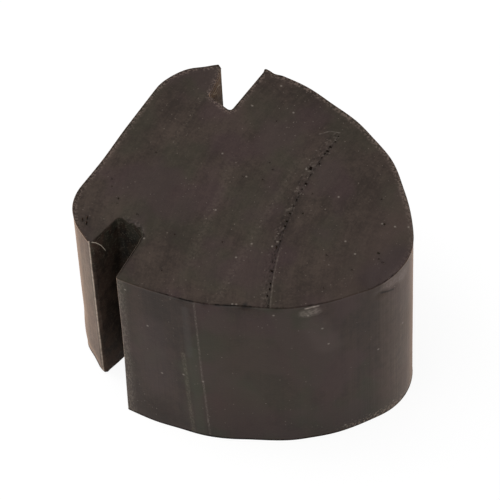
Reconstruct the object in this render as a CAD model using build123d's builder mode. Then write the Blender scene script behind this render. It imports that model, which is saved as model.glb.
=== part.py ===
"""Brake pedal stop: a solid rubber block cut from an extruded bar with a mushroom-shaped outline.

The wide head takes the knock of the pedal. Behind it two slots leave a neck, and the flange behind
the slots holds the block in a notched bracket plate. The block stands on one of its two cut faces.

Sizes are in millimetres. X runs from the flange to the nose of the head and Z along the extrusion.
The outline is drawn from the line that joins the head's two corners, which is x = 0 in the sketch.
"""
import os
from math import atan2, degrees

from build123d import *

# Length of the piece cut from the bar
block_height = 22.0

# Head: a short straight side, a wide side arc and a smaller nose arc, each tangent to the next
head_width = 30.0
head_depth = 23.8
head_straight = 2.3
nose_radius = 6.4
head_corner_radius = 0.3

# Slots: narrow at the neck and wider at the mouth, because both of their walls slope a little
slot_root_width = 3.1
slot_root_radius = 0.35
head_underside_drop = 0.35
flange_inner_lean = 0.6

# Neck: as extruded it slants a little, from one side of the centre line at the head to the other
neck_width = 17.7
neck_offset_at_head = -0.4

# Flange: its blunt tips lead back through large rounds to a flat face
flange_width = 25.7
flange_offset = 0.35
flange_thickness = 5.3
tip_land_depth = 0.5
tip_land_step = 0.35
tip_radius = 0.12
back_width = 20.5
back_corner_radius = 5.2

# Places along X, from the head's corners back to the flange's flat face
slot_head_x = -head_underside_drop
slot_flange_x = slot_head_x - slot_root_width
tip_inner_x = slot_flange_x - flange_inner_lean
tip_outer_x = tip_inner_x - tip_land_depth
back_x = slot_flange_x - flange_thickness

# The side arc leaves the straight side at a tangent and takes the radius that lets it meet the
# nose arc at a tangent too. Both arcs then have their centres on one line through that meeting.
nose_centre_x = head_depth - nose_radius
side_run = nose_centre_x - head_straight
side_rise = head_width / 2 - nose_radius
side_radius = (side_run**2 + side_rise**2) / (2 * side_rise) + nose_radius
nose_half_angle = degrees(atan2(side_radius - head_width / 2, side_run))
side_angle = 90 - nose_half_angle


def corners_from_back(side):
    """Corner points from the flat back face to the head, on the side of Y that side gives as 1 or -1."""
    return [
        (back_x, flange_offset + side * back_width / 2),
        (tip_outer_x, flange_offset + side * flange_width / 2),
        (tip_inner_x, flange_offset + side * (flange_width / 2 - tip_land_step)),
        (slot_flange_x, flange_offset + side * neck_width / 2),
        (slot_head_x, neck_offset_at_head + side * neck_width / 2),
        (0, side * head_width / 2),
        (head_straight, side * head_width / 2),
    ]


# One radius for each corner point, except the last, where the side arc starts
corner_radii = [
    back_corner_radius,
    tip_radius,
    tip_radius,
    slot_root_radius,
    slot_root_radius,
    head_corner_radius,
]

# The sketch is moved back by this much so that the block's box is centred on the part's origin
outline_plane = Plane(origin=(-(head_depth + back_x) / 2, 0, 0))

with BuildPart() as stop_block:
    with BuildSketch(outline_plane):
        with BuildLine():
            FilletPolyline(
                *reversed(corners_from_back(-1)),
                *corners_from_back(1),
                radius=[*reversed(corner_radii), *corner_radii],
            )
            side_arc = JernArc((head_straight, head_width / 2), (1, 0), side_radius, -side_angle)
            nose_arc = JernArc(side_arc @ 1, side_arc % 1, nose_radius, -2 * nose_half_angle)
            JernArc(nose_arc @ 1, nose_arc % 1, side_radius, -side_angle)
        make_face()
    extrude(amount=block_height)

stop_block.part.label = "stop_block"

os.makedirs("parts", exist_ok=True)
export_step(stop_block.part, "parts/stop_block.step")
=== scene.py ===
# %% [markdown]
# A brake pedal stop in rubber
#
# The real thing is one small block of black rubber. A factory extrudes a long bar through a steel
# die with a mushroom-shaped hole, cures it, and slices the bar into blocks with a knife. So it has
# two kinds of surface: the skin that the die left on its sides, with fine lines along the bar, and
# the two cut faces, with the curved marks of the knife and the pores that the knife opened.
#
# The lesson follows that story: draw the die's hole, fill it, extrude it to the length of the
# slice, then cut, wear and colour each surface. All lengths are written in millimetres and
# multiplied by mm, because Blender works in metres.

import random
from math import atan2, pi, radians, sqrt, tan

import bmesh
import bpy
from mathutils import Matrix, Vector
from mathutils.kdtree import KDTree


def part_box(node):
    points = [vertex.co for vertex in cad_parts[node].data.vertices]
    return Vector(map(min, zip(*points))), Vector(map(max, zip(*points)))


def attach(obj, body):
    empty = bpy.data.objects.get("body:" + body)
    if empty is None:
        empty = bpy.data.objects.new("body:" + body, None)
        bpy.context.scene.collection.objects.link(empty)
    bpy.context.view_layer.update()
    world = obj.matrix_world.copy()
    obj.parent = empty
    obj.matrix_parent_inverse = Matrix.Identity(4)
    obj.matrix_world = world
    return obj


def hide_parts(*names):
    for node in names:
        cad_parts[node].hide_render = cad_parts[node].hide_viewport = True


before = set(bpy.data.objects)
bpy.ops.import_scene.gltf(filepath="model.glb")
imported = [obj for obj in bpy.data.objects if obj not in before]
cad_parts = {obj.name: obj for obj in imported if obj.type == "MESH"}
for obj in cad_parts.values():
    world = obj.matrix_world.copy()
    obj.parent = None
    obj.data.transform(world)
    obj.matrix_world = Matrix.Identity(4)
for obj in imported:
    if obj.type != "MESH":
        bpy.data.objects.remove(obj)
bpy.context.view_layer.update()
mm = 0.001
low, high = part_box("stop_block")
print("block, mm:", [round(side / mm, 2) for side in high - low])

# %% [markdown]
# The camera stands a good way off with a long lens, in front of the block and to its right, and
# looks steeply down on the cut face. Azimuth is measured from the block's -Y side, elevation from
# the floor, and the roll is the small tilt that a hand-held camera has. A chain of matrices, read
# from left to right, says this most simply: go to the target, turn by the azimuth, tilt by the
# elevation, roll, and step back by the distance.

# %% Camera
camera_azimuth = radians(32.41)
camera_elevation = radians(52.01)
camera_roll = radians(-3.087)
camera_distance = 345.0 * mm
camera_target = Vector((-3.722, 3.693, 7.5)) * mm
sensor_width = 36.0
focal_length = 243.5

bpy.ops.object.camera_add()
camera = bpy.context.object
camera.name = "camera"
camera.matrix_world = (
    Matrix.Translation(camera_target)
    @ Matrix.Rotation(camera_azimuth, 4, "Z")
    @ Matrix.Rotation(pi / 2 - camera_elevation, 4, "X")
    @ Matrix.Rotation(camera_roll, 4, "Z")
    @ Matrix.Translation((0, 0, camera_distance)))
camera.data.sensor_width = sensor_width
camera.data.lens = focal_length
camera.data.clip_start = 0.05
camera.data.clip_end = 5.0
bpy.context.scene.camera = camera
print("camera at, mm:", [round(c / mm) for c in camera.matrix_world.translation])

# %% [markdown]
# An operator acts on all that is selected, so three small helpers deselect everything first. `select`
# then selects whole objects, `edit` opens one in edit mode, and there `pick` selects just the
# points, edges or faces that pass a test.


# %% Helpers for selecting
def select(*objects):
    """Selects these objects alone, in object mode, and makes the last one active."""
    if bpy.context.mode != "OBJECT":
        bpy.ops.object.mode_set(mode="OBJECT")
    bpy.ops.object.select_all(action="DESELECT")
    for obj in objects:
        obj.select_set(True)
    bpy.context.view_layer.objects.active = objects[-1]


def edit(obj):
    """Opens an object in edit mode as the only selected one."""
    select(obj)
    bpy.ops.object.mode_set(mode="EDIT")


def pick(kind, test):
    """Selects the visible elements of one kind, VERT, EDGE or FACE, that pass the test."""
    bpy.ops.mesh.select_mode(type=kind)
    bpy.ops.mesh.select_all(action="DESELECT")
    mesh = bpy.context.object.data
    bm = bmesh.from_edit_mesh(mesh)
    elements = {"VERT": bm.verts, "EDGE": bm.edges, "FACE": bm.faces}[kind]
    chosen = [element for element in elements if not element.hide and test(element)]
    for element in chosen:
        element.select_set(True)
    bm.select_flush_mode()
    bmesh.update_edit_mesh(mesh, loop_triangles=False, destructive=False)
    return len(chosen)


def middle(edge):
    """Middle of an edge."""
    return (edge.verts[0].co + edge.verts[1].co) / 2


# %% [markdown]
# The die's hole is drawn as a draughtsman would: start at one point, run straight to each corner,
# and swing a compass for the arcs. In Blender, a plane merged to its centre is a single point,
# extrude draws a straight run from it and spin swings an arc. Only the sizes of the shape are
# given. The centre of the wide side arc follows from them, because each arc leaves the last one at
# a tangent. A positive spin turns clockwise when seen from above.
#
# The die was cut a little askew: the head's back walls aren't quite square to the bar, so the slot
# on the -Y side is a little wider than the one on the +Y side. In the wider one, the corner between
# the neck and the head is a large round, where the die has worn, and the flange's tip is narrower.

# %% Sizes of the outline
head_half = (high.y - low.y) / 2
block_height = high.z - low.z
nose_x = high.x
corner_from_back = 8.75 * mm
head_straight = 2.3 * mm
nose_radius = 6.4 * mm
head_corner_radius = 0.2 * mm
head_underside_drop = 0.35 * mm
slot_root_width = 3.1 * mm
slot_root_radius = 0.35 * mm
flange_inner_lean = 0.6 * mm
tip_land_depth = 0.5 * mm
tip_land_step = 0.35 * mm
tip_radius = 0.16 * mm
back_corner_radius = 5.2 * mm
neck_half = 17.7 / 2 * mm
flange_half = 25.7 / 2 * mm
flange_shift = 0.35 * mm
back_half = 20.5 / 2 * mm
point_spacing = 0.3 * mm

# What differs between the -Y side and the +Y side
head_skew = {-1: 0.16 * mm, 1: -0.28 * mm}
neck_y_at_head = {-1: -8.6 * mm, 1: 8.45 * mm}
neck_corner_radius = {-1: 1.3 * mm, 1: slot_root_radius}
tip_reach = {-1: 0.2 * mm, 1: 0.0}

# Places along X, from the head's corners back to the flange's tips, and then the arcs of the head
head_corner_x = low.x + corner_from_back
slot_head_x = head_corner_x - head_underside_drop
slot_flange_x = slot_head_x - slot_root_width
tip_inner_x = slot_flange_x - flange_inner_lean
tip_outer_x = tip_inner_x - tip_land_depth
arc_start_x = head_corner_x + head_straight
nose_centre_x = nose_x - nose_radius
side_run = nose_centre_x - arc_start_x
side_rise = head_half - nose_radius
side_radius = (side_run**2 + side_rise**2) / (2 * side_rise) + nose_radius
nose_half_angle = atan2(side_radius - head_half, side_run)
side_angle = pi / 2 - nose_half_angle
print("side arc radius, mm:", round(side_radius / mm, 2))


def corners(side):
    """Corners from the head round the slot to the flat back, on the +Y side (1) or the -Y side (-1)."""
    return [
        Vector((head_corner_x + head_skew[side], side * head_half, 0)),
        Vector((slot_head_x + head_skew[side], neck_y_at_head[side], 0)),
        Vector((slot_flange_x, flange_shift + side * neck_half, 0)),
        Vector((tip_inner_x, flange_shift + side * (flange_half - tip_land_step), 0)),
        Vector((tip_outer_x + tip_reach[side], flange_shift + side * flange_half, 0)),
        Vector((low.x, flange_shift + side * back_half, 0)),
    ]


def corner_radii(side):
    """One radius for each of those corners."""
    return [head_corner_radius, neck_corner_radius[side], slot_root_radius,
            tip_radius, tip_radius, back_corner_radius]


# %% Trace the outline with extrude and spin
bpy.ops.object.select_all(action="DESELECT")
bpy.ops.mesh.primitive_plane_add(size=1 * mm)
block = bpy.context.object
block.name = "rubber_block"
block.data.name = "rubber_block"
edit(block)
bpy.ops.mesh.merge(type="CENTER")
bpy.ops.transform.translate(value=(arc_start_x, head_half, 0))


def swing(centre_x, centre_y, radius, angle):
    """Swings the last point clockwise round a centre, with points about as far apart as elsewhere."""
    steps = round(radius * angle / point_spacing)
    bpy.ops.mesh.spin(steps=steps, angle=angle, center=(centre_x, centre_y, 0), axis=(0, 0, 1))


swing(arc_start_x, head_half - side_radius, side_radius, side_angle)
swing(nose_centre_x, 0, nose_radius, 2 * nose_half_angle)
swing(arc_start_x, side_radius - head_half, side_radius, side_angle)
here = Vector((arc_start_x, -head_half, 0))
for corner in [*corners(-1), *reversed(corners(1)), Vector((arc_start_x, head_half, 0))]:
    bpy.ops.mesh.extrude_region_move(TRANSFORM_OT_translate={"value": corner - here})
    here = corner
bpy.ops.mesh.select_all(action="SELECT")
bpy.ops.mesh.remove_doubles(threshold=0.001 * mm)
print("points in the outline:", len(bmesh.from_edit_mesh(block.data).verts))

# %% [markdown]
# Vertex bevel rounds each corner. Its offset is how far along the two edges the round starts,
# which for a radius r and a turn of t is r * tan(t / 2). The straight runs are then subdivided, so
# that the whole outline has a point about every 0.3 mm. The points carry the small bends of the
# real, slightly irregular bar, which come next.

# %% Round the corners and divide the straight runs
for side in (-1, 1):
    run = [Vector((arc_start_x, side * head_half, 0)), *corners(side),
           Vector((low.x, flange_shift - side * back_half, 0))]
    for before, place, after, radius in zip(run, run[1:], run[2:], corner_radii(side)):
        turn = (place - before).angle(after - place)
        segments = max(3, round(radius * turn / point_spacing))
        pick("VERT", lambda v: (v.co - place).length < 0.005 * mm)
        bpy.ops.mesh.bevel(affect="VERTICES", offset=radius * tan(turn / 2), segments=segments)

bm = bmesh.from_edit_mesh(block.data)
long_runs = [(middle(e), e.calc_length()) for e in bm.edges if e.calc_length() > 1.6 * point_spacing]
for centre, length in long_runs:
    pick("EDGE", lambda e: (middle(e) - centre).length < 0.005 * mm)
    bpy.ops.mesh.subdivide(number_cuts=round(length / point_spacing) - 1)
print("points in the outline:", len(bmesh.from_edit_mesh(block.data).verts))

# %% [markdown]
# Rubber is soft while it is extruded and cured, so no side of the real bar follows its die
# exactly. Each bend is a push on one point of the outline that carries its neighbours with it:
# that is what proportional editing does. The pushes stay inside the box of the true block.


# %% Bend the outline as the real bar is bent
def push(place, by, reach):
    """Moves the point nearest to a place and, less and less, what lies within reach, all in mm."""
    place = Vector(place) * mm
    points = bmesh.from_edit_mesh(bpy.context.object.data).verts
    nearest = min((v.co - place).length for v in points if not v.hide)
    pick("VERT", lambda v: (v.co - place).length < nearest + 0.005 * mm)
    bpy.ops.transform.translate(value=Vector(by) * mm, use_proportional_edit=True,
                                proportional_edit_falloff="SMOOTH", proportional_size=reach * mm)


def head_place(depth, side, z=0):
    """Place in mm on the head's side arc, at a depth in front of the head's corners and a height."""
    run = depth * mm - head_straight
    y = side * (head_half - side_radius + sqrt(side_radius**2 - run**2))
    return (head_corner_x / mm + depth, y / mm, z)


# The head's -Y side is flattened in the middle, its +Y side is a little hollow and then full
push(head_place(12.5, -1), (0, 0.55, 0), 6)
push(head_place(6, -1), (0, 0.38, 0), 6.5)
push(head_place(20, -1), (0.03, -0.12, 0), 4)
push(head_place(8, 1), (0, -0.2, 0), 4)
push(head_place(16.5, 1), (0.12, 0.18, 0), 4)

# The head's +Y corner ends in a small ear
push((head_corner_x / mm + 0.8, head_half / mm, 0), (0, -0.16, 0), 0.9)
push((head_corner_x / mm - 0.3, head_half / mm, 0), (-0.14, 0, 0), 0.45)

# The flange's back and flanks are a little hollow or full, and its +Y tip reaches further back
push((low.x / mm, -3, 0), (0.12, 0, 0), 5)
push((low.x / mm + 1.3, flange_shift / mm + 8.9, 0), (0.06, -0.07, 0), 3)
flank_x = low.x / mm + 3.4
push((flank_x, flange_shift / mm - 11.7, 0), (0, -0.12, 0), 3)
push((flank_x, flange_shift / mm + 11.7, 0), (0, -0.15, 0), 3)
push((low.x / mm + 0.65, flange_shift / mm - 9.9, 0), (-0.1, -0.07, 0), 2.6)
push((tip_outer_x / mm, (flange_shift + flange_half) / mm, 0), (-0.25, 0.12, 0), 2.5)

# %% [markdown]
# The knife is a disc. As the bar was pushed past it, its edge left one curved mark behind the
# other, all with the disc's radius. A mesh shows such marks well only if its own lines run along
# them. So the outline is first slid along X, row by row, by as much as a mark is bowed there, which
# makes the marks straight. The face is then diced with plain straight cuts, marked and pitted, and
# at the end every row slides back, which bows all the marks at once.

# %% Straighten the knife's marks
knife_radius = 41.2 * mm
knife_centre_y = 7.8 * mm


def mark_bow(y):
    """How far a knife mark lies along X at y, measured from its foremost point."""
    return knife_radius - sqrt(knife_radius**2 - (y - knife_centre_y) ** 2)


def slide_rows(way):
    """Slides every point of the block along X by the bow of the marks, back with 1 or away with -1."""
    for v in bmesh.from_edit_mesh(block.data).verts:
        v.co.x += way * mark_bow(v.co.y)
    bmesh.update_edit_mesh(block.data)


pick("VERT", lambda v: True)
bpy.ops.mesh.edge_face_add()

# A narrow ring along the rim stays undiced, so that the cut edge can be rounded over it
rim_ring = 0.14 * mm
bpy.ops.mesh.inset(thickness=rim_ring, use_even_offset=True)
slide_rows(-1)
print("bow of a mark across the head, mm:", round((mark_bow(-head_half) - mark_bow(head_half)) / mm, 1))

# %% [markdown]
# The middle of the face is diced by bisecting it with many planes. Only the selected face is cut,
# so the ring at the rim is hidden first and stays whole. The planes stand closer where the seam of
# pores runs, because its step and its pores are only a tenth of a millimetre or two wide.

# %% Dice the cut face
mark_spacing = 0.24 * mm
row_spacing = 0.2 * mm
seam_x = 2.8 * mm

# In a zone along the seam these lines, in mm from it, take the place of the plain ones
seam_lines = [-0.45, -0.3, -0.18, -0.07, 0.04, 0.12, 0.2, 0.32]
seam_zone = (-0.5 * mm, 0.4 * mm)


def bisect_all(place, direction):
    """Cuts every visible face with one plane."""
    bpy.ops.mesh.select_all(action="SELECT")
    bpy.ops.mesh.bisect(plane_co=place, plane_no=direction)


bpy.ops.mesh.hide(unselected=True)
inner = [v.co for v in bmesh.from_edit_mesh(block.data).verts if not v.hide]
first_x, last_x = min(c.x for c in inner), max(c.x for c in inner)
first_y, last_y = min(c.y for c in inner), max(c.y for c in inner)
x_cuts = [first_x + (i + 0.5) * mark_spacing for i in range(int((last_x - first_x) / mark_spacing))]
x_cuts = [x for x in x_cuts if not seam_zone[0] < x - seam_x < seam_zone[1]]
x_cuts += [seam_x + line * mm for line in seam_lines]
y_cuts = [first_y + (i + 0.5) * row_spacing for i in range(int((last_y - first_y) / row_spacing))]
for x in x_cuts:
    bisect_all((x, 0, 0), (1, 0, 0))
for y in y_cuts:
    bisect_all((0, y, 0), (0, 1, 0))
bpy.ops.mesh.reveal(select=False)
print("faces of the diced cut face:", len(bmesh.from_edit_mesh(block.data).faces))

# %% [markdown]
# One extrude makes the block, as the die and the knife made it: the face at z = 0 stays and its
# copy moves up. The walls are then one long quad per outline point, and subdividing their upright
# edges divides them into rows.

# %% Extrude the block and divide its walls
wall_rows = 55
pick("FACE", lambda f: True)
bpy.ops.mesh.extrude_region_move(TRANSFORM_OT_translate={"value": (0, 0, block_height)})
pick("EDGE", lambda e: abs(e.verts[0].co.z - e.verts[1].co.z) > block_height / 2)
bpy.ops.mesh.subdivide(number_cuts=wall_rows - 1)
bpy.ops.mesh.select_all(action="SELECT")
bpy.ops.mesh.normals_make_consistent(inside=False)
bm = bmesh.from_edit_mesh(block.data)
print("faces:", len(bm.faces), "open edges:", sum(not e.is_manifold for e in bm.edges))

# %% [markdown]
# A sharp knife leaves an edge that is nearly, but never quite, sharp, and the cut rubber relaxes
# over it. The edge is found by its angle: its two faces meet at a right angle and it lies flat.
# Beveling it here, before any relief is added, keeps the round the same all the way along. The
# faces that a bevel makes stay selected, so they go straight into a vertex group, by which the
# materials later find the worn edge.

# %% Round the cut edges
rim_radius = 0.09 * mm


def is_rim(edge):
    """True for an edge between a wall and a cut face."""
    upright = abs(edge.verts[0].co.z - edge.verts[1].co.z) > 0.001 * mm
    return not upright and len(edge.link_faces) == 2 and edge.calc_face_angle() > radians(80)


def group_selected(name, weight=1.0):
    """Puts the selected points into a vertex group of their object, new or not, with a weight."""
    groups = bpy.context.object.vertex_groups
    groups.active = groups.get(name) or groups.new(name=name)
    bpy.context.scene.tool_settings.vertex_group_weight = weight
    bpy.ops.object.vertex_group_assign()


print("rim edges:", pick("EDGE", is_rim))
bpy.ops.mesh.bevel(offset=rim_radius, segments=3, affect="EDGES", clamp_overlap=False)
group_selected("cut_edge")

# %% [markdown]
# Relief is what a Displace modifier is for. It moves points along their normals by a texture, and
# with a mid level of 1 it only ever moves them inwards, so the block never grows past its true
# size. The texture is read through an empty: scaling the empty stretches the pattern, which turns
# clouds into long streaks. A vertex group keeps each relief on its own kind of surface.


# %% Relief with textures
def relief(group, feature, stretch, depth, octaves=2):
    """Lowers a group of points by up to depth with clouds of a feature size, stretched along the axes."""
    texture = bpy.data.textures.new("relief", "CLOUDS")
    texture.noise_scale = 1.0
    texture.noise_depth = octaves
    bpy.ops.object.empty_add()
    ruler = bpy.context.object
    ruler.scale = [feature * factor for factor in stretch]
    select(block)
    bpy.context.view_layer.update()
    modifier = block.modifiers.new("relief", "DISPLACE")
    modifier.texture = texture
    modifier.texture_coords = "OBJECT"
    modifier.texture_coords_object = ruler
    modifier.vertex_group = group
    modifier.mid_level = 1.0
    modifier.strength = depth
    bpy.ops.object.modifier_apply(modifier=modifier.name)
    bpy.data.objects.remove(ruler)
    bpy.data.textures.remove(texture)


pick("FACE", lambda f: abs(f.normal.z) < 0.1)
group_selected("walls")
sloped = {v.index for f in bmesh.from_edit_mesh(block.data).faces if abs(f.normal.z) < 0.99 for v in f.verts}
pick("VERT", lambda v: v.index not in sloped)
group_selected("cut_faces")
bpy.ops.object.mode_set(mode="OBJECT")

# The knife's marks: fine ones close together, and a few broad ones where it was pushed harder
relief("cut_faces", 0.7 * mm, (1, 20, 1), 0.035 * mm)
relief("cut_faces", 3.0 * mm, (1, 5, 1), 0.12 * mm)
print("block's lowest point, mm:", round(min(v.co.z for v in block.data.vertices) / mm, 3))

# %% [markdown]
# A seam of pores crosses the cut face along one of the marks: there two streams of soft rubber met
# in the die and trapped air, and the knife opened the bubbles. On its nose side the face stands a
# little higher. The seam is a straight line while the marks are straight, so its step is made by
# moving whole lines of points down or up.
#
# A pore is one face, or a few side by side, that is inset and pushed down. The seam's pores stand
# where the real ones do, large ones first and then the shallow ones between them, and so do a few
# elsewhere on the face. The smallest are scattered, with a seed so that each run gives the same
# block. The points of a pore go into a group, and their weight there says how much painted shade
# the material puts in the pore.

# %% Seam
top_z = block_height - 0.5 * mm
seam_foot_y = -13.0 * mm
seam_head_y = 11.0 * mm

# Distance from the seam in mm, and how far the points there are lowered, or raised at the crest
step_profile = [(-0.45, -0.01), (-0.3, -0.02), (-0.18, -0.04), (-0.07, -0.05), (0.04, 0.02), (0.12, 0.015)]


def step(first_y, last_y, share):
    """Shapes the seam's step, at a share of its height, from one row to another."""
    for distance, height in step_profile:
        line = seam_x + distance * mm
        pick("VERT", lambda v: (v.co.z > top_z and abs(v.co.x - line) < 0.01 * mm
                                and first_y < v.co.y < last_y))
        bpy.ops.transform.translate(value=(0, 0, share * height * mm))


edit(block)
step(seam_foot_y, seam_head_y, 0.5)
step(seam_foot_y, -6.5 * mm, 0.8)


# %% Pores
# painted shade on a pore's border, as a share of that in the pore
border_darkness = 0.4


def open_pores(places, depth, border, width=1, darkness=1.0, top=True):
    """Opens pores in a cut face, at places in mm with the marks straight. Each takes width faces."""
    up = 1 if top else -1
    faces = bmesh.from_edit_mesh(block.data).faces
    faces.index_update()
    flat = [f for f in faces if f.normal.z * up > 0.8]
    finder = KDTree(len(flat))
    for f in flat:
        finder.insert(f.calc_center_median(), f.index)
    finder.balance()
    z = block_height if top else 0
    chosen = {index for x, y in places for _, index, _ in finder.find_n((x * mm, y * mm, z), width)}
    pick("FACE", lambda f: f.index in chosen)
    group_selected("pores", darkness * border_darkness)
    bpy.ops.mesh.inset(thickness=border * mm, use_even_offset=True, use_individual=width == 1)
    bpy.ops.transform.translate(value=(0, 0, -up * depth * mm))
    group_selected("pores", darkness)
    return len(chosen)


def on_seam(*pores):
    """Places of pores given by y and by their distance from the seam, in mm."""
    return [(seam_x / mm + off, y) for y, off in pores]


def on_face(*pores):
    """Places of pores given by their real x and y in mm, moved to where they lie with straight marks."""
    return [(x - mark_bow(y * mm) / mm, y) for x, y in pores]


open_pores(on_seam((10.8, 0.0), (8.2, -0.05), (6.7, 0.1), (1.8, 0.0), (-3.4, -0.1)), 0.14, 0.015)
open_pores(on_seam((9.2, 0.0), (4.0, 0.0), (-0.1, -0.1), (-1.6, -0.1), (-8.4, -0.1)), 0.2, 0.015, width=2)
open_pores(on_seam((8.5, 0.0), (-1.0, -0.1), (-9.1, -0.1), (-9.9, -0.15)), 0.2, 0.015, width=2)
open_pores(on_seam((5.8, -0.4), (-4.3, -0.2), (-7.1, -0.15)), 0.28, 0.015, width=3)
open_pores(on_seam((10.0, 0.1), (7.5, 0.0), (5.2, 0.0), (3.1, 0.0), (2.5, -0.1), (0.9, 0.0)),
           0.07, 0.03, darkness=0.7)
open_pores(on_seam((-2.2, -0.1), (-2.8, -0.2), (-5.2, -0.1), (-6.0, -0.2), (-10.9, -0.1)),
           0.07, 0.03, darkness=0.7)
open_pores(on_face((-13.9, -10.4), (-13.3, -10.5), (-13.6, -10.0)), 0.2, 0.02, width=2)
open_pores(on_face((12.2, 3.2), (4.6, 0.5), (13.5, -0.2), (-12.3, -6.5)), 0.1, 0.04, darkness=0.6)

random.seed(11)
small_pores = 34
for is_top in (True, False):
    scattered = [(random.uniform(-19, 16), random.uniform(-14, 14)) for _ in range(small_pores)]
    print("pores:", open_pores(scattered, 0.06, 0.06, darkness=0.35, top=is_top))

# %% [markdown]
# Sliding every row back bows the marks, the seam and its pores at once. What is left are the bends
# that differ between the block's two ends, and its wear. They use the same push, now on the solid
# block: the knife didn't cut the lower end where it cut the upper one, the flange's lower edge is
# pulled up, and the cut edge is chipped in front, torn over the slot's round corner and rolled over
# at the shoulder of the nose.

# %% Bow the marks again
slide_rows(1)

# %% Lean and wear
# The lower end of the head's -Y side stands further out, and that of its corner further back
push(head_place(11, -1), (0, -0.3, 0), 9)
push(head_place(3.5, -1), (0, -0.18, 0), 4)
push((head_corner_x / mm + 0.2, -head_half / mm, 0), (-0.2, 0, 0), 12)

# The lower edge of the flange's front tip is pulled up, and the flank beside it a little out
push((-14.2, -11.2, 0), (0.03, 0.05, 0.7), 3.2)
push((-13.3, -11.8, 0), (0.05, 0.05, 0.4), 2.2)
push((-11.9, -12.5, 0), (0.15, 0.1, 0.15), 0.7)
push((-15.7, -9.6, 3), (-0.1, -0.05, 0), 3.5)

# The rolled shoulder, and a crease in the wall below it
top = block_height / mm
push((15.0, -4.0, top), (0, 0, -0.3), 2.4)
push((15.9, -2.4, top), (-0.05, 0.03, -0.2), 1.6)
for crease in ((15.1, -3.6, 20.3), (15.5, -2.9, 20.2), (15.9, -2.0, 20.4)):
    push(crease, (-0.07, 0.04, 0), 0.7)

# Chips in the front edge: how far they lie in front of the head's corner, and how deep they go
chips = [(7.2, 0.08), (9.6, 0.1), (12.9, 0.16), (13.2, 0.12), (15.6, 0.1), (18.3, 0.12)]
for along_side, chip in chips:
    push(head_place(along_side, -1, top), (0, chip, -chip), 0.5)

# The torn edge over the neck and the slot's round corner
tears = [(-10.3, -8.5, 0.1), (-9.8, -8.5, -0.12), (-9.3, -8.6, 0.16), (-8.9, -8.7, -0.15),
         (-8.5, -8.9, 0.18), (-8.2, -9.3, -0.12), (-8.0, -9.8, 0.15)]
for x, y, tear in tears:
    push((x, y, top), (-tear, tear, -abs(tear)), 0.45)

bpy.ops.mesh.select_all(action="DESELECT")
bpy.ops.object.mode_set(mode="OBJECT")
bpy.ops.object.shade_smooth_by_angle(angle=radians(40))

# %% [markdown]
# The walls carry the die's own marks. Any burr on its edge draws a fine line all the way along the
# bar, so this relief is stretched forty times along Z. A second, wide and faint one gives the soft
# unevenness of rubber that swelled as it left the die.

# %% Die lines and soft unevenness of the walls
relief("walls", 1.2 * mm, (1, 1, 40), 0.03 * mm)
relief("walls", 6.0 * mm, (1, 1, 1), 0.04 * mm, octaves=1)

# %% [markdown]
# The knife left a burr at the flange's front tip: a thread of rubber a tenth of a millimetre thick
# that hangs over the slot. It starts as a filled circle inside the tip, and each extrude carries
# the circle on to the next bend and makes it a little smaller. The thread is then joined to the
# block, because it is the same piece of rubber.

# %% Burr at the flange's tip
burr_bends = [Vector(bend) * mm for bend in (
    (-11.95, -12.3, 21.86), (-11.6, -12.28, 21.9), (-11.31, -12.15, 21.86), (-11.05, -12.07, 21.74),
    (-10.8, -12.0, 21.56), (-10.57, -11.97, 21.28), (-10.38, -11.95, 20.95))]
bpy.ops.object.select_all(action="DESELECT")
bpy.ops.mesh.primitive_circle_add(vertices=6, radius=0.055 * mm, fill_type="NGON",
                                  location=burr_bends[0], rotation=(0, pi / 2, 0))
burr = bpy.context.object
edit(burr)
for before, bend in zip(burr_bends, burr_bends[1:]):
    bpy.ops.mesh.extrude_region_move(TRANSFORM_OT_translate={"value": bend - before})
    bpy.ops.transform.resize(value=(0.96, 0.96, 0.96), center_override=bend)
bpy.ops.mesh.select_all(action="SELECT")
bpy.ops.mesh.normals_make_consistent(inside=False)
group_selected("burr")
select(burr, block)
bpy.ops.object.join()
print("block's points:", len(block.data.vertices))

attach(block, "root")
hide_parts("stop_block")

# %% [markdown]
# All the finishes are the same black rubber, a natural or SBR compound filled with carbon black,
# with an IOR near 1.52. Old stock turns a little brown: wax and antioxidant bloom to the surface as
# a thin haze, which shows where the eye grazes it. That is what sheen is for.
#
# One function adds a node. An input takes a number, a colour or another node's output, so a whole
# pattern reads as one expression. Colour goes on in coats, as a painter lays it: the first one is
# the rubber's own, and each of the others covers it by the product of its shares. Patterns use
# Object coordinates, where one unit is a metre, so a pattern's scale is one over its real size.


# %% Helpers for materials
def linear(hex_colour):
    """Linear colour, with an alpha of 1, of an sRGB hex string such as "#403934"."""
    channels = [int(hex_colour[i:i + 2], 16) / 255 for i in (1, 3, 5)]
    return [*(c / 12.92 if c <= 0.04045 else ((c + 0.055) / 1.055) ** 2.4 for c in channels), 1.0]


def add(kind, inputs=None, **settings):
    """Adds a node to the current tree, with its inputs linked or filled in, and with its settings."""
    node = tree.nodes.new("ShaderNode" + kind)
    for name, value in settings.items():
        setattr(node, name, value)
    for name, value in (inputs or {}).items():
        if isinstance(value, str):
            value = linear(value)
        if isinstance(value, bpy.types.NodeSocket):
            tree.links.new(value, node.inputs[name])
        else:
            node.inputs[name].default_value = value
    return node


def new_material(name):
    """A new material with an empty tree."""
    material = bpy.data.materials.new(name)
    material.use_nodes = True
    material.node_tree.nodes.clear()
    return material


def product(*values):
    """Product of several values."""
    result = values[0]
    for value in values[1:]:
        result = add("Math", {0: result, 1: value}, operation="MULTIPLY").outputs[0]
    return result


def largest(*values):
    """Largest of several values."""
    result = values[0]
    for value in values[1:]:
        result = add("Math", {0: result, 1: value}, operation="MAXIMUM").outputs[0]
    return result


def total(*parts):
    """Sum of pairs of a value and its weight."""
    result = 0.0
    for value, weight in parts:
        result = add("Math", {0: value, 1: weight, 2: result}, operation="MULTIPLY_ADD").outputs[0]
    return result


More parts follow.
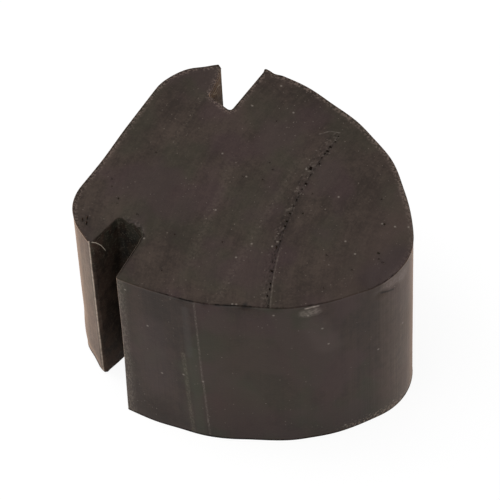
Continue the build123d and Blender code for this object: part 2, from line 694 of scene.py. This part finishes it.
def apart(value, mark):
    """How far a value lies from a mark, on either side of it."""
    beside = add("Math", {0: value, 1: mark}, operation="SUBTRACT").outputs[0]
    return add("Math", {0: beside}, operation="ABSOLUTE").outputs[0]


def fade(value, start, end):
    """Smooth rise from 0 at start to 1 at end."""
    return add("MapRange", {"Value": value, "From Min": start, "From Max": end},
               interpolation_type="SMOOTHSTEP").outputs[0]


def ramp(length, start, end):
    """The same rise for a length, with start and end in millimetres."""
    return fade(length, start * mm, end * mm)


def between(value, low_result, high_result):
    """A value from 0 to 1 turned into one between two results."""
    return add("MapRange", {"Value": value, "To Min": low_result, "To Max": high_result}).outputs[0]


def paint(colour, *coats):
    """The colour with coats over it, each a hex string and the shares whose product it covers by."""
    for coat, *shares in coats:
        colour = add("Mix", {0: product(*shares), 6: colour, 7: coat}, data_type="RGBA").outputs[2]
    return colour


# %% [markdown]
# The patterns of old rubber are noise, specks and scratches. Noise is stretched by giving its size
# along each axis. Specks are dust, or pinholes too small to model: a Voronoi cell's middle is where
# one may lie, and the cell's random colour decides whether it does. The few specks that catch the
# eye are spots with a place of their own. A scratch is all that is nearer to a line between two
# points than half its width, and a bent one is a chain of them.


# %% Patterns
def noise(place, sizes, detail=2.0):
    """Noise with features of the given sizes in millimetres along X, Y and Z."""
    scale = [1 / (size * mm) for size in sizes]
    stretched = add("VectorMath", {0: place, 1: scale}, operation="MULTIPLY").outputs[0]
    return add("TexNoise", {"Vector": stretched, "Scale": 1.0, "Detail": detail}).outputs[0]


def specks(place, spacing, radius, share):
    """Specks in a share of the cells, with the radius and about the spacing given in millimetres."""
    cells = add("TexVoronoi", {"Vector": place, "Scale": 1 / (spacing * mm)}).outputs
    near = fade(cells["Distance"], radius / spacing, 0.3 * radius / spacing)
    draw = add("SeparateColor", {"Color": cells["Color"]}).outputs
    chosen = add("Math", {0: draw[0], 1: share}, operation="LESS_THAN").outputs[0]
    return product(near, draw[1], chosen)


def spots(place, radius, *centres):
    """Specks of a radius round each of the centres, in millimetres."""
    result = 0.0
    for centre in centres:
        gap = add("VectorMath", {0: place, 1: Vector(centre) * mm}, operation="DISTANCE").outputs["Value"]
        result = largest(result, ramp(gap, radius, 0))
    return result


def scratch(place, width, *bends):
    """A scratch from bend to bend, in millimetres, that fades out to its width."""
    result = 0.0
    for start, end in zip(bends, bends[1:]):
        start, end = Vector(start) * mm, Vector(end) * mm
        direction = (end - start).normalized()
        beside = add("VectorMath", {0: place, 1: start}, operation="SUBTRACT").outputs[0]
        run = add("VectorMath", {0: beside, 1: direction}, operation="DOT_PRODUCT").outputs["Value"]
        held = add("Clamp", {"Value": run, "Min": 0, "Max": (end - start).length}).outputs[0]
        foot = add("VectorMath", {0: direction, "Scale": held}, operation="SCALE").outputs[0]
        gap = add("VectorMath", {0: beside, 1: foot}, operation="DISTANCE").outputs["Value"]
        result = largest(result, ramp(gap, width / 2, width / 8))
    return result


def attribute(name):
    """A point attribute of the block, from 0 to 1."""
    return add("Attribute", attribute_name=name).outputs["Fac"]


# %% [markdown]
# The three finishes share one shader. Rubber reflects little when it is looked at squarely, so its
# specular level is low, and the brown sheen does the rest. The rounded edges are duller still.
#
# Every edge that the knife left is a little frayed at the back and dark in front, with packed dirt
# and with painted shade that hides the rounded edge's highlight, both thinner near the nose, and the
# materials on its two sides show it, so that is one function too. A chip in front lies in painted
# shadow. The flange's front tip has a painted highlight down its edge.

# %% Rubber
edge_roughness = 0.85


def rubber(colour, roughness, height, depth, sheen):
    """The rubber's shader: satin, with a brown bloom, and bumps up to a depth in millimetres."""
    bump = add("Bump", {"Height": height, "Distance": depth * mm}).outputs[0]
    roughness = largest(roughness, product(attribute("cut_edge"), edge_roughness))
    shader = add("BsdfPrincipled", {
        "Base Color": colour, "Roughness": roughness, "Normal": bump, "IOR": 1.52,
        "Specular IOR Level": 0.15, "Sheen Weight": sheen, "Sheen Roughness": 0.25,
        "Sheen Tint": "#dab090"})
    add("OutputMaterial", {"Surface": shader.outputs[0]})


def edge_wear_and_painted_light(colour, place):
    """The colour with the cut edges' wear, dirt and painted shade, the flange tip's painted highlight and
    its burr laid over it.
    """
    x, y, _ = add("SeparateXYZ", {0: place}).outputs
    near_edge = attribute("near_edge")
    ragged = fade(noise(place, (0.2, 0.2, 0.2), 3), 0.44, 0.6)
    at_back = largest(ramp(y, -4, 2), ramp(x, -13, -15))
    frayed = product(fade(near_edge, 0, 0.75), ragged, at_back, between(ramp(x, 15, 12), 0.4, 1), 0.6)
    off_slot = between(ramp(x, -4.5, -1.5), 0.15, 1)
    off_right = between(ramp(x, 7, 5), 0.45, 1)
    off_nose = between(ramp(x, 13.6, 12.6), 0.3, 1)
    in_front = product(ramp(y, -6.5, -8), off_slot, off_right, off_nose)
    dirt_and_shade_noise = fade(noise(place, (1.2, 1.2, 1.2), 2), 0.4, 0.55)
    patchy = fade(noise(place, (0.5, 0.5, 0.5), 3), 0.38, 0.58)
    packed_dirt_and_shade = product(between(patchy, 0.15, 0.9), between(dirt_and_shade_noise, 0.5, 1))
    chip_shadow = spots(place, 0.45, (5.2, -11.8, 21.95))
    tip_x = (tip_outer_x + tip_reach[-1]) / mm - 0.05
    tip_y = (flange_shift - flange_half) / mm + 0.05
    tip_highlight = scratch(place, 0.26, (tip_x, tip_y, top), (tip_x, tip_y, 0))
    return paint(
        colour,
        ("#7b6b62", frayed),
        # dirt and painted shade along the front of the cut edges, which also hides the rounded edge's
        # highlight
        ("#17110d", fade(near_edge, 0.55, 0.95), in_front, dirt_and_shade_noise, 0.4),
        ("#0c0907", attribute("cut_edge"), in_front, packed_dirt_and_shade),
        ("#0c0907", chip_shadow, 0.9),
        # painted highlight down the flange's front tip
        ("#ccb9a8", tip_highlight, between(patchy, 0.45, 0.75)),
        ("#8c8276", attribute("burr")))


# %% [markdown]
# Extruded skin is the smoother finish: satin, with fine lines along the bar, wider bands of a tone
# lighter or darker, and patches where the brown bloom is thick or handled away. Dust sits on it in
# groups. Fine lines are really under 0.1 mm apart, and are drawn twice as wide so that they show.
#
# The -Y side has marks of its own: two pale lines that the die drew with a greenish band between
# them, a painted highlight down the corner, and a scuff under the cut edge. They are drawn on a
# front view of the block, which leaves Y out. The nose has a painted highlight towards its rim and
# is worn in spots at its foot, and the rolled shoulder beside it is scuffed and painted lighter as a
# highlight, with painted shade in a crease below.

# %% Extruded skin
skin = new_material("extruded_rubber_skin")
tree = skin.node_tree
place = add("TexCoord").outputs["Object"]
x, y, z = add("SeparateXYZ", {0: place}).outputs
fine_lines = noise(place, (0.2, 0.2, 20), 3)
broad_lines = noise(place, (1.6, 1.6, 60))
patches = noise(place, (5, 5, 7), 3)
blotches = noise(place, (0.7, 0.7, 0.9), 4)
grit = noise(place, (0.22, 0.22, 0.22), 3)
tone = total((fine_lines, 0.1), (broad_lines, 0.25), (patches, 0.3), (blotches, 0.2), (grit, 0.15))
colour = paint(
    "#281d17",
    ("#3c2e26", fade(tone, 0.38, 0.62)),
    ("#343224", fade(noise(place, (6, 6, 9)), 0.48, 0.6), 0.6),
    ("#412f2e", fade(noise(place, (7, 5, 7)), 0.47, 0.6), 0.55),
    # painted shade, darker towards the foot of the walls
    ("#1a140f", ramp(z, 7, 0), 0.35))

# %% Marks on the -Y side and the nose
front = add("CombineXYZ", {"X": x, "Z": z}).outputs[0]
on_front = add("Math", {0: y, 1: 0}, operation="LESS_THAN").outputs[0]
beads = between(fade(noise(place, (0.15, 0.15, 0.3), 3), 0.4, 0.65), 0.2, 1)
die_line = scratch(front, 0.3, (0.72, 0, 22), (1.0, 0, 10), (1.55, 0, 0))
broad_line = scratch(front, 0.65, (-0.75, 0, 13), (-0.5, 0, 6.5), (-0.15, 0, 0))
haze = scratch(front, 1.1, (-0.2, 0, 20.5), (-0.1, 0, 13))
green_band = scratch(front, 1.6, (0.2, 0, 14), (0.65, 0, 0))
soft_patch = scratch(front, 3.2, (11, 0, 19), (12, 0, 15))
olive_patch = scratch(front, 9, (5, 0, 15), (6.5, 0, 8))
mauve_patch = scratch(front, 5, (-4, 0, 16), (-3.5, 0, 7))
corner_highlight = product(ramp(x, -6.1, -7.1), ramp(y, -13, -14), beads)
mottle = fade(noise(place, (0.3, 0.3, 0.2), 3), 0.35, 0.65)
scuff = product(scratch(front, 0.35, (10.4, 0, 21.55), (11.3, 0, 21.7)), between(mottle, 0.5, 1))
faint_scuff = product(scratch(front, 1.7, (10.45, 0, 20.8), (10.95, 0, 20.9)), between(mottle, 0.15, 0.4))
shoulder_scuff_and_highlight = scratch(place, 2.4, (15.75, -2.4, 21.2), (16.2, -0.5, 20.6))
shoulder_crease = scratch(place, 0.4, (15.35, -3.2, 20.25), (15.95, -1.95, 19.75))
nose_streaks = total((fine_lines, 0.35), (broad_lines, 0.35), (blotches, 0.3))
nose_rim_highlight = product(ramp(x, 14.4, 16.2), between(fade(nose_streaks, 0.38, 0.62), 0.28, 0.5))
worn_foot = product(ramp(z, 1.6, 0.2), ramp(x, 12, 14.5), fade(grit, 0.5, 0.62))
colour = paint(
    colour,
    ("#383224", on_front, olive_patch, 0.4),
    ("#473838", on_front, mauve_patch, 0.3),
    ("#3a3e2f", on_front, green_band, 0.35),
    ("#4a4644", on_front, haze, 0.25),
    ("#5a4c48", on_front, soft_patch, 0.25),
    ("#857a70", on_front, die_line, beads, 0.35),
    ("#77725f", on_front, broad_line, beads, 0.3),
    # painted highlight down the head's corner
    ("#74695f", corner_highlight, 0.55),
    ("#b3a59b", on_front, largest(scuff, faint_scuff), 0.7),
    # painted highlight towards the nose's rim
    ("#6c5b50", nose_rim_highlight),
    ("#a89583", worn_foot, 0.6),
    # scuffs and a painted highlight on the rolled shoulder, then painted shade in the crease below it
    ("#7f706a", shoulder_scuff_and_highlight, between(mottle, 0.3, 0.6)),
    ("#17110d", shoulder_crease, 0.7))

# %% Bloom, dust and a painted reflection on the skin
on_flange = product(ramp(x, -12, -12.3), ramp(y, -3, -11.5))
flange_streaks = fade(total((noise(place, (0.4, 0.4, 7), 3), 0.6), (blotches, 0.4)), 0.4, 0.6)
flange_bloom_and_reflection = product(between(flange_streaks, 0.3, 0.65), between(ramp(z, 1, 8), 0.45, 1))
dust_patches = between(fade(noise(place, (2.5, 2.5, 2.5)), 0.45, 0.58), 0.15, 1)
dust = largest(specks(place, 0.42, 0.08, 0.3), specks(place, 1.3, 0.12, 0.3))
bright_dust = spots(
    place, 0.19, (-6.41, -14.9, 20.6), (11.58, -8.19, 17.97), (12.0, -7.79, 15.3), (16.2, -0.5, 12.8),
    (15.16, -3.56, 11.4), (-0.9, -14.2, 9.45), (-3.2, -14.55, 8.6), (-4.3, -14.7, 15.9), (1.05, -13.75, 9.0),
    (7.8, -10.9, 20.8), (13.04, -6.66, 0.9), (15.9, -1.9, 1.2), (10.55, -9.05, 20.4))
colour = paint(
    colour,
    # bloom on the flange's flank, which is also a painted grazing reflection, less towards the foot
    ("#735f50", on_flange, flange_bloom_and_reflection),
    ("#241a14", on_flange, mottle, 0.2),
    ("#241a14", on_flange, fade(grit, 0.5, 0.38), 0.2),
    ("#a08c7c", on_flange, fade(grit, 0.55, 0.67), 0.1),
    ("#9c9084", dust, dust_patches, 0.55),
    ("#b8ada1", bright_dust, 0.4))

roughness = between(patches, 0.42, 0.54)
height = total((fine_lines, 0.5), (grit, 0.4), (blotches, 0.3))
rubber(edge_wear_and_painted_light(colour, place), roughness, height, 0.025, sheen=0.8)

# %% [markdown]
# The cut face is duller: a knife tears rubber a little as it parts it, which leaves a grain and
# streaks along its marks. A point's distance from the knife's axis says which mark it lies on, so
# noise over that distance runs along the marks. The seam lies on one mark too: a thin crease, dark
# with dirt and painted shade, joins its pores, with a painted highlight on the ridge beside it on
# the front half. The grain is torn open next to the seam and at the slot's round corner. Dust lies
# thickest in three of the streaks, by the seam and at the head's back edge. The shoulder has a
# darker patch and painted shade along its rolled edge, and handling left a scratch as thin as a hair.

# %% Knife-cut face
cut = new_material("knife_cut_rubber")
tree = cut.node_tree
place = add("TexCoord").outputs["Object"]
x, y, _ = add("SeparateXYZ", {0: place}).outputs
plan = add("CombineXYZ", {"X": x, "Y": y}).outputs[0]
knife_axis = (seam_x + knife_radius, knife_centre_y, 0)
from_knife = add("VectorMath", {0: plan, 1: knife_axis}, operation="DISTANCE").outputs["Value"]
along = add("CombineXYZ", {"X": from_knife, "Y": y}).outputs[0]
fine_marks = noise(along, (0.25, 2.5, 1), 3)
broad_marks = noise(along, (1.4, 14, 1))
patches = noise(place, (4, 5, 5), 3)
blotches = noise(place, (0.6, 0.6, 0.6), 4)
grit = noise(place, (0.22, 0.22, 0.22), 3)
tone = total((fine_marks, 0.12), (broad_marks, 0.18), (patches, 0.27), (blotches, 0.23), (grit, 0.2))
colour = paint(
    "#2f2621",
    ("#443932", fade(tone, 0.38, 0.62)),
    ("#38372b", fade(noise(place, (6, 8, 6)), 0.46, 0.62), 0.4),
    ("#413133", fade(noise(place, (6, 7, 7)), 0.46, 0.62), 0.45),
    ("#473a35", ramp(x, 8, 14), 0.5),
    ("#1f1613", ramp(y, 7, 11), 0.12))

# %% Seam, streaks and scratches on the cut face
broken = fade(noise(place, (0.3, 0.3, 0.3), 3), 0.4, 0.62)
near_seam = product(ramp(y, seam_foot_y / mm, -12), ramp(y, 11.5, 10.5))
seam_gap = apart(from_knife, knife_radius)
ridge_gap = apart(from_knife, knife_radius - 0.17 * mm)
tear_gap = apart(from_knife, knife_radius + 0.3 * mm)
crease = product(ramp(seam_gap, 0.12, 0.02), near_seam, broken)
ridge_highlight = product(ramp(ridge_gap, 0.11, 0.02), near_seam, ramp(y, -3, -6), between(broken, 0.4, 1))
torn_corner = scratch(place, 1.5, (-10.4, -8.3, top), (-8.9, -8.4, top), (-7.8, -9.4, top))
torn = largest(product(ramp(tear_gap, 0.8, 0.2), near_seam), torn_corner)
torn_grain = noise(place, (0.25, 0.4, 0.25), 3)
dark_shoulder_patch = scratch(place, 4.4, (14.4, -3.3, top), (15.3, 0.5, top))
rolled_edge = scratch(place, 0.5, (14.5, -4.3, 21.8), (15.3, -3.1, 21.8), (16.0, -1.6, 21.9))
streaks = largest(
    scratch(place, 1.6, (-4.9, 3, top), (-3.8, -0.75, top), (-3.2, -5, top), (-2, -10, top)),
    scratch(place, 1.4, (1.1, 6.2, top), (1.4, 0.6, top), (1.8, -4.9, top), (2.5, -12.8, top)),
    scratch(place, 1.0, (-11.7, 9, top), (-11, 2.4, top)))
hair_scratch = scratch(place, 0.24, (1.1, 10.1, top), (1.8, 10.9, top), (2.8, 11.2, top))
colour = paint(
    colour,
    ("#6d6257", streaks, between(broken, 0.02, 0.12)),
    # a darker patch on the shoulder
    ("#34292b", dark_shoulder_patch, 0.5),
    # painted shade along the rolled edge of the shoulder
    ("#1a1213", rolled_edge, broken, 0.8),
    ("#80756b", torn, fade(torn_grain, 0.54, 0.68), 0.22),
    ("#1d1612", torn, fade(torn_grain, 0.47, 0.36), 0.55),
    # dirt and painted shade in the seam's crease
    ("#0f0b09", crease, 0.7),
    # painted highlight on the ridge beside the seam
    ("#8f8478", ridge_highlight, 0.22),
    ("#a0968c", hair_scratch, between(broken, 0.15, 0.5)))

# %% Dust and pores on the cut face
dust_patches = between(fade(noise(along, (1.2, 4, 1)), 0.46, 0.58), 0.15, 0.8)
beside_seam = product(ramp(seam_gap, 2.6, 0), near_seam)
dusty_back = product(ramp(y, 5.5, 10), ramp(x, -8, -4), 0.85)
dusty = largest(dust_patches, streaks, beside_seam, dusty_back)
dust = largest(specks(place, 0.34, 0.08, 0.4), specks(place, 1.2, 0.12, 0.35))

# Bright specks by their x and y, a tenth of a millimetre below the top, and two on the front edge
bright_places = [
    (2.13, 5.58), (-2.55, 11.3), (11.98, 3.11), (13.24, 3.39), (14.43, 3.96), (9.9, -0.49),
    (11.45, -1.39), (4.13, -3.67), (3.97, -4.4), (2.07, -5.07), (6.64, 4.02), (-6.12, 3.35),
    (-2.57, 1.93), (-3.12, -3.11), (1.58, -7.24), (-7.46, -9.46), (-5.37, 13.79), (-6.61, 10.13)]
bright_dust = spots(place, 0.17, *((*spot, top - 0.1) for spot in bright_places),
                    (4.1, -12.3, 21.95), (4.45, -12.15, 21.95))
colour = paint(
    colour,
    ("#9a8e82", dust, dusty, 0.5),
    ("#b3a89c", bright_dust, 0.36),
    # painted shade in the pores
    ("#0b0806", attribute("pores"), 0.85))

roughness = between(patches, 0.48, 0.6)
height = total((fine_marks, 0.3), (grit, 0.6), (blotches, 0.3))
rubber(edge_wear_and_painted_light(colour, place), roughness, height, 0.035, sheen=0.25)

# %% [markdown]
# The slots held the bracket plate. Road dirt and rust packed in beside it, so their walls are matt
# and nearly black, with crumbs of dried mud, and the black is painted shade of the deep slots as
# well. The flange's wall is redder, where the rust of the plate rubbed off, most of all near its
# tips and low down, and it stays dark towards the slot's root as painted shade. A few pale crumbs
# hang on the wall of its front tip, and that of its back tip was scraped as the plate was levered
# out and is painted lighter where light falls on it.

# %% Dirty slot walls, with painted shade and light
slot_dirt_and_shade = new_material("dirty_shaded_slot_rubber")
tree = slot_dirt_and_shade.node_tree
place = add("TexCoord").outputs["Object"]
x, y, z = add("SeparateXYZ", {0: place}).outputs
mottle = noise(place, (0.9, 0.9, 1.4), 4)
crumbs = noise(place, (0.25, 0.25, 0.25), 3)
mottled = fade(mottle, 0.4, 0.6)
near_top = ramp(z, 15, 22)
mud = fade(noise(place, (1.1, 1.1, 1.6), 3), 0.42, 0.55)
loose_crumbs = spots(place, 0.22, (-11.05, -10.9, 20.2), (-11.1, -11.3, 17.5),
                     (-11.2, -11.9, 9.0), (-11.0, -10.6, 12.6))
on_flange_wall = ramp(x, -10.7, -11.1)
# rust near the tips and low down; towards the slot's root the wall stays dark, as painted shade
near_tips_or_low = largest(ramp(apart(y, 0), 9.2, 11.6), ramp(z, 7, 2))
rust_and_root_shade = product(between(mottled, 0.45, 1), between(near_tips_or_low, 0.45, 1))
scraped_and_lit = product(ramp(y, 5, 8), on_flange_wall, near_top)
scrapes = fade(noise(place, (0.5, 0.5, 0.25), 3), 0.42, 0.6)
lever_marks = largest(
    scratch(place, 0.16, (-11.7, 12.3, 20.1), (-11.4, 11.4, 20.9), (-11.2, 10.2, 21.1)),
    scratch(place, 0.14, (-11.5, 11.9, 20.3), (-11.3, 10.9, 20.4), (-11.1, 10.0, 21.2)))
colour = paint(
    # nearly black: dirt, and painted shade of the deep slots
    "#17110b",
    ("#2b2118", mottled),
    ("#4a3a31", on_flange_wall, rust_and_root_shade),
    ("#34332a", mud, near_top, 0.65),
    ("#605a4e", fade(crumbs, 0.52, 0.66), between(near_top, 0.25, 0.6)),
    ("#6f6857", loose_crumbs, 0.6),
    # painted light on the lit wall of the back tip, with scrapes over it
    ("#6b4e3b", scraped_and_lit, 0.9),
    ("#977a5c", scraped_and_lit, scrapes, 0.6),
    ("#c4b29c", lever_marks, 0.75))

roughness = between(mottle, 0.7, 0.9)
height = total((mottle, 0.5), (crumbs, 0.5))
rubber(edge_wear_and_painted_light(colour, place), roughness, height, 0.06, sheen=0.05)

# %% Give each face its finish
for finish in (skin, cut, slot_dirt_and_shade):
    block.data.materials.append(finish)


def finish_of(face):
    """Index of a face's finish: 0 for skin, 1 for a cut face, 2 for a slot's wall."""
    if abs(face.normal.z) > 0.7:
        return 1
    beside_slot = tip_outer_x < face.center.x < head_corner_x + head_corner_radius
    inside = abs(face.center.y) < head_half - 0.3 * mm
    faces_back = face.normal.x < -0.5
    return 2 if beside_slot and (inside or faces_back) else 0


for polygon in block.data.polygons:
    polygon.material_index = finish_of(polygon)

# %% [markdown]
# A shader can't read a vertex group, but it reads an attribute. So each group that a material needs
# becomes an attribute, with its weight on its points and 0 elsewhere. The group goes first, because
# the two can't share a name. A second kind of attribute says how near a point is to a cut edge: it
# falls from 1 at the edge to 0 a little way in, on the cut face and on the wall alike.


# %% Attributes for the edges, the pores and the burr
def weights(name):
    """Weight of each of the block's points in a vertex group."""
    index = block.vertex_groups[name].index
    return [max([g.weight for g in v.groups if g.group == index], default=0.0) for v in block.data.vertices]


shares = {name: weights(name) for name in ("cut_edge", "pores", "burr")}
block.vertex_groups.clear()
fray_width = 0.6 * mm
edge_points = [v.co for v, share in zip(block.data.vertices, shares["cut_edge"]) if share]
finder = KDTree(len(edge_points))
for index, point in enumerate(edge_points):
    finder.insert(point, index)
finder.balance()
shares["near_edge"] = [max(0.0, 1 - finder.find(v.co)[2] / fray_width) for v in block.data.vertices]
for name, values in shares.items():
    block.data.attributes.new(name, "FLOAT", "POINT").data.foreach_set("value", values)
    print(name, "points:", sum(value > 0 for value in values))

# %% [markdown]
# The block stands on white paper. The camera sees most of the paper's light as a glow, so that the
# background is white, but a share of it stays plain paper, which keeps the block's soft shadow.
# Glow and paper together come to 1, which is white. Two large soft boxes and a pale world light the
# block: one overhead, for the cut face, and one low on the left, which the flange's flank catches
# at a grazing angle.

# %% Floor
floor_size = 3.0
bpy.ops.mesh.primitive_plane_add(size=floor_size)
floor = bpy.context.object
floor.name = "floor"
paper = new_material("white_paper")
tree = paper.node_tree
sheet = add("BsdfDiffuse", {"Color": "#f6f6f6"}).outputs[0]
glow = add("Emission", {"Strength": 1.06}).outputs[0]
path = add("LightPath").outputs
seen = largest(path["Is Camera Ray"], path["Is Glossy Ray"], path["Is Transmission Ray"])
paper_share = 0.15
lit = add("MixShader", {0: product(seen, 1 - paper_share), 1: sheet, 2: glow}).outputs[0]
add("OutputMaterial", {"Surface": lit})
floor.data.materials.append(paper)

# %% Light
world = bpy.data.worlds.new("studio")
bpy.context.scene.world = world
world.use_nodes = True
background = world.node_tree.nodes["Background"].inputs
background["Color"].default_value = (1, 1, 1, 1)
background["Strength"].default_value = 0.5


def softbox(name, place, size, power):
    """A square area lamp that faces the middle of the block."""
    bpy.ops.object.light_add(type="AREA", location=place)
    lamp = bpy.context.object
    lamp.name = name
    lamp.data.size = size
    lamp.data.energy = power
    aim = Vector((0, 0, block_height / 2)) - lamp.location
    lamp.rotation_euler = aim.to_track_quat("-Z", "Y").to_euler()


softbox("top_box", (-0.1, -0.1, 0.6), 0.4, 1.3)
softbox("left_box", (-0.6, -0.05, 0.2), 0.4, 2.2)

bpy.context.scene.view_settings.view_transform = "Standard"
